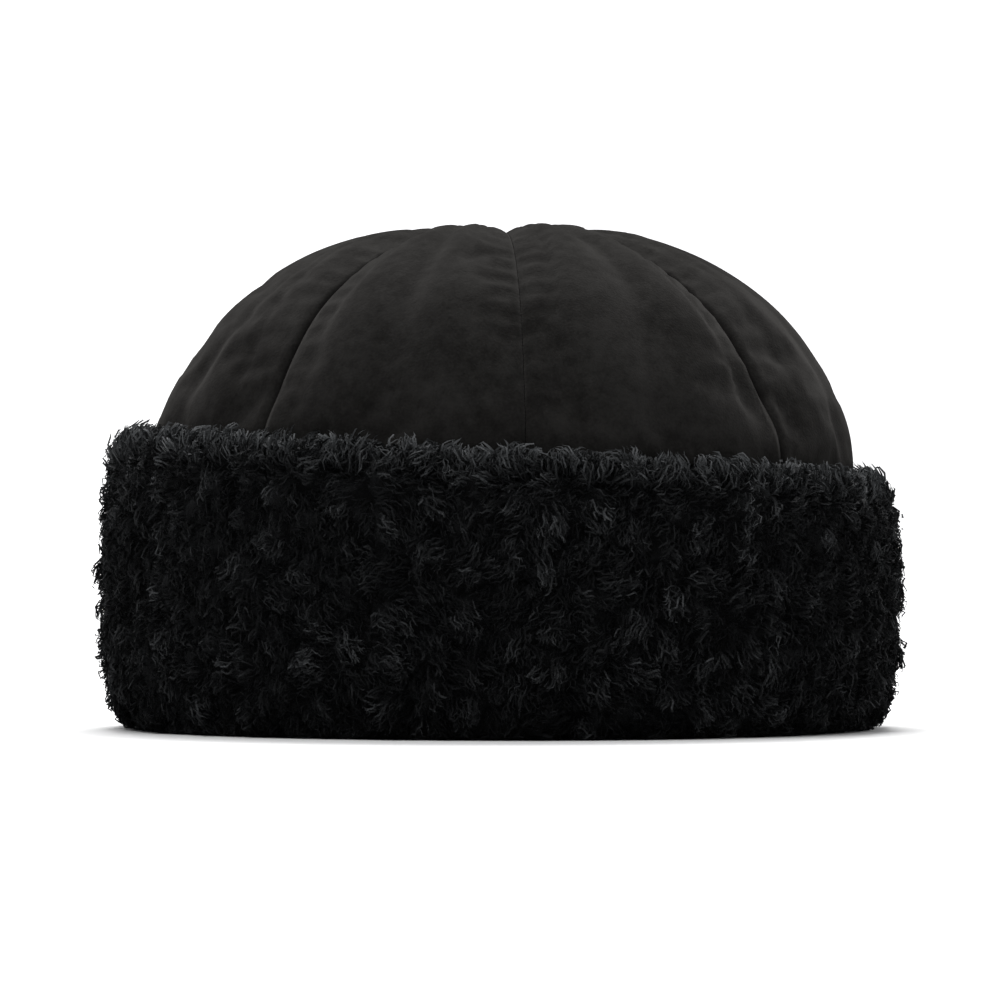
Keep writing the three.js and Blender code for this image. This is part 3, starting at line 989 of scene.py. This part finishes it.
@dataclass
class CuffWool(Piece):
    """The cuff's thick pile on its backing.

    Sizes are in mm, azimuths in degrees and turns in radians. Shares are of the way up the open
    side. A swelling is an azimuth, a height, a reach and how far it stands out.
    """

    middle_half: float = 113.4
    drop_azimuth: float = 75
    drop_share: float = 0.055
    rise_azimuth: float = -90
    rise_share: float = 0.12
    knots_around: int = 96
    knot_rows: int = 14
    floor_clearance: float = 0.3
    softness: float = 0.5
    columns: int = 640
    rows: int = 78
    fold_rows: int = 13
    tufts: int = 5800
    tuft_rows: int = 36
    tuft_shares: tuple[float, float] = (0.03, 0.99)
    upright_shares: tuple[float, float] = (0.74, 0.94)
    lump_turn: float = 0.75
    tuft_turn: float = 0.4
    lump_rise: float = 4.2
    lump_reach: float = 5.4
    # the reach of the lighter middle round each lump's tip, beyond which the painted valley shade falls
    lump_tone_reach: float = 5.6
    sunk: float = 2.9
    backing_drop: float = 1.3
    backing_tuft_rise: float = 0.9
    backing_tuft_reach: float = 2.4
    # painted shade: the backing's tone between the tufts, and how much lighter it is under their crowns
    backing_shade_tones: tuple[float, float] = (0.12, 0.45)
    # painted shade: the backing of the fold and of the hidden side is kept dark
    hidden_tone: float = 0.15
    shoulder_share: float = 0.87
    shoulder_reach: float = 0.06
    shoulder_sink: float = 0.8
    flat_height: float = 1.4
    fringe_count: int = 600
    fringe_rows: int = 5
    fringe_shares: tuple[float, float] = (0.84, 0.995)
    hidden_side: tuple[tuple[float, float], ...] = (
        (103.0, 71.4), (104.5, 71.4), (100.9, 16), (97.5, 12.6), (83.6, 12.6), (83.6, 15.0),
    )
    swellings: tuple[tuple[float, float, float, float], ...] = (
        (-70, 20, 24, 1.8), (-66, 46, 16, -1.4), (-25, 62, 22, 1.2), (20, 48, 15, -1.6),
        (50, 30, 26, 1.2), (108, 22, 22, 2.0), (165, 44, 26, -1.2), (215, 30, 24, 1.4),
    )
    open_side: Profile = field(init=False)
    fold_side: Profile = field(init=False)

    def __post_init__(self) -> None:
        """Makes the curves of the pile's open side and of the fold's inner side."""
        self.open_side = Profile(np.vstack([
            Profile.quadratic((101, 0), (111.6, 1), (112.2, 20)),
            Profile.catmull(((112.2, 20), (113.4, 42), (112.6, 62)))[1:],
            Profile.quadratic((112.6, 62), (111.8, 75), (106.5, 75))[1:],
            np.array([[102.8, 73.8]]),
        ]))
        self.fold_side = Profile(np.vstack([
            np.array([[81.5, 15.0], [81.5, 12.0]]),
            Profile.quadratic((81.5, 12), (82, 0.6), (92, 0))[1:],
            np.array([[101.0, 0.0]]),
        ]))

    def turned_up(self, points: np.ndarray, azimuth: np.ndarray) -> np.ndarray:
        """Raises the cuff's upper part on one side and lowers the cuff on the other.

        Args:
            points: places in mm, which are changed.
            azimuth: their turns from the front, in radians.

        Returns:
            The same array.
        """
        to_rise, to_drop = (
            (1 + np.cos(azimuth - math.radians(side))) / 2 for side in (self.rise_azimuth, self.drop_azimuth)
        )
        raised = self.rise_share * to_rise**4 * smoothstep(points[..., 2], 16, 60)
        points[..., 2] *= 1 + raised - self.drop_share * to_drop**2
        return points

    def swelling(self, azimuth: np.ndarray, height: np.ndarray) -> np.ndarray:
        """Says how far the cuff swells out.

        Args:
            azimuth: turns from the front, in radians.
            height: heights over the floor.

        Returns:
            Distances in mm.
        """
        out = np.zeros(np.broadcast(azimuth, height).shape)
        for turn, level, reach, far in self.swellings:
            along = 2 * np.sin((azimuth - math.radians(turn)) / 2) * self.middle_half
            out += far * np.exp(-(along**2 + (height - level) ** 2) / reach**2)
        return out

    def place(self, curve: Profile, share: np.ndarray, azimuth: np.ndarray) -> tuple[np.ndarray, ...]:
        """Reads one side of the pile.

        Args:
            curve: that side's curve.
            share: shares of the way along it.
            azimuth: turns from the front, in radians.

        Returns:
            The places in mm, and the unit ways out of the pile, up along it and round it.
        """
        half, height, slope = curve.at(share)
        outward, upward = OVAL.ways(half, slope, azimuth)
        points = self.turned_up(OVAL.point(half, height, azimuth), azimuth)
        if curve is self.open_side:
            points = points + outward * self.swelling(azimuth, height)[..., None]
        return points, outward, upward, np.cross(upward, outward)

    def lock_tips(self) -> tuple[np.ndarray, np.ndarray]:
        """Finds the tips of the solids' locks in their staggered net of knots.

        Returns:
            The share of the way up and the azimuth of each tip.
        """
        row, column = np.meshgrid(np.arange(1, self.knot_rows), np.arange(self.knots_around), indexing="ij")
        tip = (column - row // 2 - row) % 3 == 0
        row, column = row[tip], column[tip]
        seed = row * self.knots_around + column
        share = (row + 0.22 * scatter(seed)) / self.knot_rows
        step = column + 0.5 * (row % 2) + 0.25 * scatter(seed + 0.3)
        return share, step / self.knots_around * 2 * np.pi

    def lump_tips(self) -> np.ndarray:
        """Gives the places of the locks' tips."""
        return self.place(self.open_side, *self.lock_tips())[0]

    def lump_height(self, lump: np.ndarray, near: np.ndarray) -> np.ndarray:
        """Gives the height of a lump at a distance from its tip, in mm; some lumps are lower than others."""
        return self.lump_rise * (0.82 + 0.3 * scatter(lump + 0.7)) * np.exp(-((near / self.lump_reach) ** 2))

    def full(self, share: np.ndarray) -> np.ndarray:
        """Says how full the pile stands at shares of the open side."""
        return smoothstep(share, 0, 0.16) * (1 - smoothstep(share, 0.95, 1.02))

    def backing_rings(self, crowns: np.ndarray) -> tuple[np.ndarray, np.ndarray]:
        """Lays the rings of the matted wool under the locks.

        Args:
            crowns: the middle of each tuft.

        Returns:
            The rings, and a tone for each point of them: dark as painted shade under the locks, lighter under
            the tufts' crowns.
        """
        azimuth = np.arange(self.columns) / self.columns * 2 * np.pi
        open_share, turns = np.meshgrid(np.linspace(0, 1, self.rows), azimuth, indexing="ij")
        points, outward, _, _ = self.place(self.open_side, open_share, turns)
        lump = self.lump_height(*nearest(points, self.lump_tips()))
        tuft = np.exp(-((nearest(points, crowns)[1] / self.backing_tuft_reach) ** 2))
        depth = self.full(open_share) * (lump - self.sunk + self.backing_tuft_rise * tuft - self.backing_drop)
        depth = depth - self.shoulder_sink * self.shoulder(open_share)
        outer = points + outward * depth[..., None]
        fold_share, turns = np.meshgrid(np.linspace(0, 1, self.fold_rows + 1)[:-1], azimuth, indexing="ij")
        fold = self.place(self.fold_side, fold_share, turns)[0]
        ones = np.ones_like(azimuth)
        back = [
            self.turned_up(OVAL.point(half * ones, height * ones, azimuth), azimuth)
            for half, height in self.hidden_side
        ]
        rings = np.concatenate([fold, outer, np.stack(back)])
        rings[..., 2] = np.maximum(rings[..., 2], self.flat_height)
        tone = np.full(rings.shape[:2], self.hidden_tone)
        # painted shade: the backing is dark between the tufts and lighter under their crowns
        tone[len(fold):len(fold) + self.rows] = self.backing_shade_tones[0] + self.backing_shade_tones[1] * tuft
        return rings, tone

    def base(self, crowns: np.ndarray) -> bpy.types.Object:
        """Models the matted wool under the locks, a closed ring.

        Args:
            crowns: the middle of each tuft.

        Returns:
            The backing.
        """
        rings, tone = self.backing_rings(crowns)
        faces = self.ring_faces(len(rings), self.columns)
        return self.mesh("cuff_wool_backing", rings.reshape(-1, 3), faces, tone.ravel())

    def pressed(self, height: np.ndarray) -> np.ndarray:
        """Presses the lowest locks flat over the floor, softly enough that they keep their order."""
        over = (height - self.floor_clearance) / self.softness
        return self.floor_clearance + self.softness * np.logaddexp(0, over)

    def shoulder(self, share: np.ndarray) -> np.ndarray:
        """Says where the cuff's upper corner is worn round, from 0 to 1."""
        return np.exp(-(((share - self.shoulder_share) / self.shoulder_reach) ** 2))

    @staticmethod
    def spread(count: int, rows: int, low: float, high: float,
               draw: np.random.Generator) -> tuple[np.ndarray, np.ndarray]:
        """Spreads tufts in staggered rows.

        Args:
            count: about how many.
            rows: how many rows.
            low: the share of the way up at which they start.
            high: the share at which they end.
            draw: the source of random numbers.

        Returns:
            The share and the azimuth of each tuft.
        """
        per_row = count // rows
        row = np.repeat(np.arange(rows), per_row)
        column = np.tile(np.arange(per_row), rows)
        jitter = draw.uniform(-0.45, 0.45, (2, len(row)))
        share = mix(low, high, (row + 0.5 + jitter[0]) / rows)
        return share, (column + 0.5 * (row % 2) + jitter[1]) / per_row * 2 * np.pi

    def face_tufts(self, draw: np.random.Generator) -> Tufts:
        """Stands the tufts of the cuff's face in lumps round the solids' lock tips.

        Args:
            draw: the source of random numbers.

        Returns:
            The tufts.
        """
        share, azimuth = self.spread(self.tufts, self.tuft_rows, *self.tuft_shares, draw)
        root = self.place(self.open_side, share, azimuth)[0]
        tips = self.lump_tips()
        lump, near = nearest(root, tips)
        full = self.full(share)
        turn = draw.normal(0, self.lump_turn, len(tips))[lump] + draw.normal(0, self.tuft_turn, len(share))
        height = full * (self.lump_height(lump, near) - self.sunk)
        return Tufts(
            share, azimuth, turn,
            upright=mix(-1, 1, smoothstep(share, *self.upright_shares)),
            height=height - self.shoulder_sink * self.shoulder(share),
            size=draw.uniform(0.75, 1.25, len(share)) * mix(0.75, 1, full),
            tone=self.tuft_tone(lump, near, share, draw),
        )

    def tuft_tone(self, lump: np.ndarray, near: np.ndarray, share: np.ndarray,
                  draw: np.random.Generator) -> np.ndarray:
        """Tones the tufts: some lumps lighter than others at random, with painted shade in the valleys
        between them and painted rim light towards the upper edge.

        Args:
            lump: the number of the lump that each tuft belongs to.
            near: how far each tuft is from its lump's tip.
            share: each tuft's share of the way up.
            draw: the source of random numbers.

        Returns:
            A tone for each tuft.
        """
        own = draw.uniform(0.55, 1.25, len(near)) * draw.uniform(0.6, 1.4, lump.max() + 1)[lump]
        # painted shade: tufts darken away from their lump's tip, in the valleys between lumps
        painted_valley_shade = mix(0.08, 1.2, np.exp(-((near / self.lump_tone_reach) ** 2)))
        # painted rim light: tufts grow lighter towards the cuff's upper edge
        return own * painted_valley_shade * mix(0.9, 2.3, smoothstep(share, 0.8, 0.97))

    def fringe_tufts(self, draw: np.random.Generator) -> Tufts:
        """Stands the longer tufts along the cuff's edge, toned light as painted rim light.

        Args:
            draw: the source of random numbers.

        Returns:
            The tufts.
        """
        share, azimuth = self.spread(self.fringe_count, self.fringe_rows, *self.fringe_shares, draw)
        # painted rim light: the fringe is toned light, lightest along the upper edge
        lit = mix(0.35, 1, smoothstep(share, 0.85, 0.97))
        return Tufts(
            share, azimuth,
            turn=draw.normal(0, 0.7, len(share)),
            upright=np.ones(len(share)),
            height=draw.uniform(-3.4, -1.6, len(share)),
            size=draw.uniform(0.7, 1.2, len(share)),
            tone=lit * draw.uniform(2.4, 5.0, len(share)),
        )

    def flat_tufts(self, draw: np.random.Generator, count: int, rows: int, low: float, high: float,
                   lift: float) -> Tufts:
        """Stands tufts on the fold, where the wool is short and pressed.

        Args:
            draw: the source of random numbers.
            count: about how many.
            rows: how many rows.
            low: the share of the way along at which they start.
            high: the share at which they end.
            lift: how far their roots are out of the surface.

        Returns:
            The tufts.
        """
        share, azimuth = self.spread(count, rows, low, high, draw)
        return Tufts(
            share, azimuth,
            turn=draw.uniform(-np.pi, np.pi, len(share)) * 0.6,
            upright=np.full(len(share), -1.0),
            height=np.full(len(share), lift),
            size=draw.uniform(0.8, 1.2, len(share)),
            tone=draw.uniform(0.2, 0.5, len(share)),
        )

    def build(self, finish: WoolFinish) -> None:
        """Makes the matted wool, and the locks in pieces that each cover a part of the way round.

        Args:
            finish: their wool.
        """
        wool = finish.build()
        draw = np.random.default_rng(7)
        outside = partial(self.place, self.open_side), self.open_side.length()
        under = partial(self.place, self.fold_side), self.fold_side.length()
        pressed = {"length": 5, "width": 1.2, "rise": (40, 110), "per_tuft": 9, "reach": 3}
        face = Fleece(*outside, self.middle_half + 6)
        fringe = Fleece(*outside, 108, length=7.4, width=0.5, rise=(0, 112), gather=0.5, per_tuft=12)
        rim = Fleece(*outside, 104, **pressed)
        fold = Fleece(*under, 90, **pressed)
        tufts = self.face_tufts(draw)
        self.settle(self.base(face.crowns(tufts)), Slot.CUFF_WOOL, wool, "cuff_wool")
        rim_place = {"count": 260, "rows": 2, "low": 0.0, "high": 0.06, "lift": 0.4}
        fold_place = {"count": 720, "rows": 6, "low": 0.0, "high": 1.0, "lift": -0.6}
        grown = (
            ("cuff_locks", 4, face.grow(tufts, draw)),
            ("edge_locks", 1, fringe.grow(self.fringe_tufts(draw), draw)),
            ("rim_locks", 1, rim.grow(self.flat_tufts(draw, **rim_place), draw)),
            ("fold_locks", 1, fold.grow(self.flat_tufts(draw, **fold_place), draw)),
        )
        for name, parts, (points, tones, one) in grown:
            points[..., 2] = self.pressed(points[..., 2])
            middle = np.arctan2(points[:, 0, 0], -points[:, 0, 1]) % (2 * np.pi)
            part_of = (middle * parts / (2 * np.pi)).astype(int) % parts
            for part in range(parts):
                chosen = np.nonzero(part_of == part)[0]
                made = self.mesh(f"{name}_{part + 1}", *Fleece.join(points, tones, one, chosen))
                self.settle(made, Slot.CUFF_WOOL, wool)


@dataclass
class CrownLining(Piece):
    """The wool inside the crown; sizes in mm."""

    dome: Dome
    seat_gap: float = 0.4
    pile_at_side: float = 14
    pile_at_top: float = 11
    backing_depth: float = 2.6
    # painted shade: the matted base under the lining's locks is kept dark
    backing_tone: float = 0.1
    clearance: float = 3.4
    rows: int = 40
    columns: int = 144
    tufts: int = 1350

    def depth(self, share: np.ndarray) -> np.ndarray:
        """Gives the depth of the pile's face under the dome."""
        return self.dome.skin + self.seat_gap + mix(self.pile_at_side, self.pile_at_top, share)

    def backing(self) -> bpy.types.Object:
        """Models the pile's under-surface with its hidden outer side.

        Returns:
            The backing, closed all round.
        """
        share, azimuth = np.meshgrid(
            np.linspace(0, 1 - 1 / self.dome.curve.length(), self.rows),
            np.arange(self.columns) / self.columns * 2 * np.pi, indexing="ij",
        )
        depth = self.depth(share) - self.backing_depth * smoothstep(share, 0, 0.05)
        inner = self.dome.point(share, azimuth, depth)
        seams = np.radians([self.dome.seam(i) for i in range(len(self.dome.seams) + 1)])
        turn = np.where(azimuth < seams[0], azimuth + 2 * np.pi, azimuth)
        turn = np.where(turn >= seams[-1], turn - 2 * np.pi, turn)
        sunk = np.zeros_like(share)
        for index in range(len(self.dome.seams)):
            across = (turn - seams[index]) / (seams[index + 1] - seams[index])
            own = (across >= 0) & (across < 1)
            sunk[own] = self.dome.sink(index, across[own], share[own])
        outer = self.dome.point(share, azimuth, self.dome.skin + self.clearance + sunk)
        rings = np.concatenate([inner, outer[::-1]])
        faces = self.ring_faces(len(rings), self.columns, flip=True)
        # painted shade: the whole backing takes the dark tone
        tone = np.full(len(rings) * self.columns, self.backing_tone)
        return self.mesh("lining_backing", rings.reshape(-1, 3), faces, tone)

    def face(self, share: np.ndarray, azimuth: np.ndarray) -> tuple[np.ndarray, ...]:
        """Gives places on the pile's face, and the ways out of it, up along it and round it."""
        place, outward, upward = self.dome.frame(share, azimuth)
        return place - outward * self.depth(share)[..., None], -outward, upward, np.cross(upward, outward)

    def locks(self, draw: np.random.Generator) -> bpy.types.Object:
        """Grows the lining's locks, flattened as a worn lining is.

        Args:
            draw: the source of random numbers.

        Returns:
            All the locks as one piece.
        """
        steps = np.linspace(0, 0.995, 200)
        half = self.dome.curve.at(steps)[0]
        area = np.concatenate([[0], np.cumsum((half[1:] + half[:-1]) / 2)])
        order = np.arange(self.tufts) + 0.5
        share = np.interp(order / self.tufts * area[-1], area, steps)
        tufts = Tufts(
            share, order * math.pi * (3 - math.sqrt(5)),
            turn=draw.uniform(-np.pi, np.pi, self.tufts) * mix(0.25, 1, smoothstep(share, 0.02, 0.15)),
            upright=np.full(self.tufts, -1.0),
            height=draw.uniform(-1.8, -0.6, self.tufts),
            size=draw.uniform(0.8, 1.25, self.tufts),
            tone=draw.uniform(0.45, 1.0, self.tufts),
        )
        worn = {"length": 6, "width": 1.5, "crimp": 0.5, "rise": (20, 112), "per_tuft": 9, "reach": 4.2}
        fleece = Fleece(self.face, self.dome.curve.length(), 84, **worn)
        points, tones, one = fleece.grow(tufts, draw)
        return self.mesh("lining_locks", *Fleece.join(points, tones, one, np.arange(len(points))))

    def build(self, finish: WoolFinish) -> None:
        """Makes the backing and its locks.

        Args:
            finish: their wool.
        """
        wool = finish.build()
        self.settle(self.backing(), Slot.LINING_WOOL, wool, "crown_lining_wool")
        self.settle(self.locks(np.random.default_rng(11)), Slot.LINING_WOOL, wool)


@dataclass(frozen=True)
class Lamp:
    """A soft square lamp, by default turned to the hat; sizes in metres, power in watts."""

    name: str
    place: tuple[float, float, float]
    size: float
    power: float
    towards: tuple[float, float, float] = (0, 0, 0.07)


@dataclass
class Studio:
    """Floor, lights and camera; sizes in metres, lens and sensor in mm, yaw in degrees."""

    camera_height: float = 0.034
    camera_distance: float = 1.2
    aim_height: float = 0.066
    lens: float = 149
    sensor: float = 36
    yaw: float = 6
    floor_side: float = 8
    floor_shift: float = 1.0
    wall_height: float = 5
    bend_width: float = 2
    bend_steps: int = 12
    sky: tuple[float, float, float] = (0.97, 0.98, 1.0)
    sky_strength: float = 0.7
    lamps: tuple[Lamp, ...] = (
        Lamp("key", (-0.8, -0.9, 1.7), 1.2, 28),
        Lamp("fill", (1.4, -0.8, 1.0), 1.4, 9),
        Lamp("back", (0.1, 0.8, 1.5), 1.0, 85),
        Lamp("wall", (0, 2.4, 1.8), 2, 130, (0, 5, 0.5)),
    )

    def floor(self) -> None:
        """Lays a pale floor that curves up behind the hat."""
        bpy.ops.object.select_all(action="DESELECT")
        bpy.ops.mesh.primitive_plane_add(size=self.floor_side, location=(0, self.floor_shift, 0))
        floor = bpy.context.active_object
        floor.name = "studio_floor"
        bpy.ops.object.mode_set(mode="EDIT")
        bpy.ops.mesh.select_all(action="DESELECT")
        bpy.ops.object.mode_set(mode="OBJECT")
        for edge in floor.data.edges:
            edge.select = all(floor.data.vertices[v].co.y > 0 for v in edge.vertices)
        bpy.ops.object.mode_set(mode="EDIT")
        bpy.ops.mesh.extrude_region_move(TRANSFORM_OT_translate={"value": (0, 0, self.wall_height)})
        bpy.ops.object.mode_set(mode="OBJECT")
        bend = floor.modifiers.new("bend", "BEVEL")
        bend.width = self.bend_width
        bend.segments = self.bend_steps
        bpy.ops.object.modifier_apply(modifier=bend.name)
        bpy.ops.object.transform_apply(location=True, rotation=True, scale=True)
        bpy.ops.object.shade_smooth()
        floor.data.materials.append(GroundFinish().build())

    def hang(self, lamp: Lamp) -> None:
        """Hangs a lamp.

        Args:
            lamp: what it is and where it goes.
        """
        light = bpy.data.lights.new(lamp.name, "AREA")
        light.size = lamp.size
        light.energy = lamp.power
        made = bpy.data.objects.new(lamp.name, light)
        made.location = lamp.place
        made.rotation_euler = self.facing(np.array(lamp.towards) - np.array(lamp.place))
        bpy.context.scene.collection.objects.link(made)

    @staticmethod
    def facing(aim: np.ndarray) -> tuple[float, float, float]:
        """Gives the turn that points a lamp or camera along a direction."""
        level = math.hypot(aim[0], aim[1])
        return (math.pi / 2 + math.atan2(aim[2], level), 0, math.atan2(-aim[0], aim[1]))

    def camera(self) -> None:
        """Sets the camera in front of the hat, just above the floor."""
        data = bpy.data.cameras.new("view")
        data.lens = self.lens
        data.sensor_width = self.sensor
        made = bpy.data.objects.new("view", data)
        turn = math.radians(self.yaw)
        side, front = -math.sin(turn) * self.camera_distance, -math.cos(turn) * self.camera_distance
        place = np.array([side, front, self.camera_height])
        made.location = place
        made.rotation_euler = self.facing(np.array([0, 0, self.aim_height]) - place)
        bpy.context.scene.collection.objects.link(made)
        bpy.context.scene.camera = made

    def build(self) -> None:
        """Makes the whole studio."""
        self.floor()
        self.camera()
        for lamp in self.lamps:
            self.hang(lamp)
        world = bpy.data.worlds.new("room")
        world.use_nodes = True
        light = world.node_tree.nodes["Background"].inputs
        light["Color"].default_value = (*self.sky, 1)
        light["Strength"].default_value = self.sky_strength
        bpy.context.scene.world = world
        bpy.context.scene.view_settings.view_transform = "Standard"


def main() -> None:
    """Builds the hat and its studio."""
    logging.basicConfig(level=logging.INFO)
    Studio().build()
    dome = Dome()
    SuedeCrown(dome).build(SuedeFinish())
    CrownLining(dome).build(WoolFinish(name=Slot.LINING_WOOL.value))
    CuffWool().build(WoolFinish())
    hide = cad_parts["cuff_skin"]
    hide.data.materials.clear()
    hide.data.materials.append(SuedeFinish(name=Slot.CUFF_HIDE.value).build())


if __name__ == "__main__":
    main()
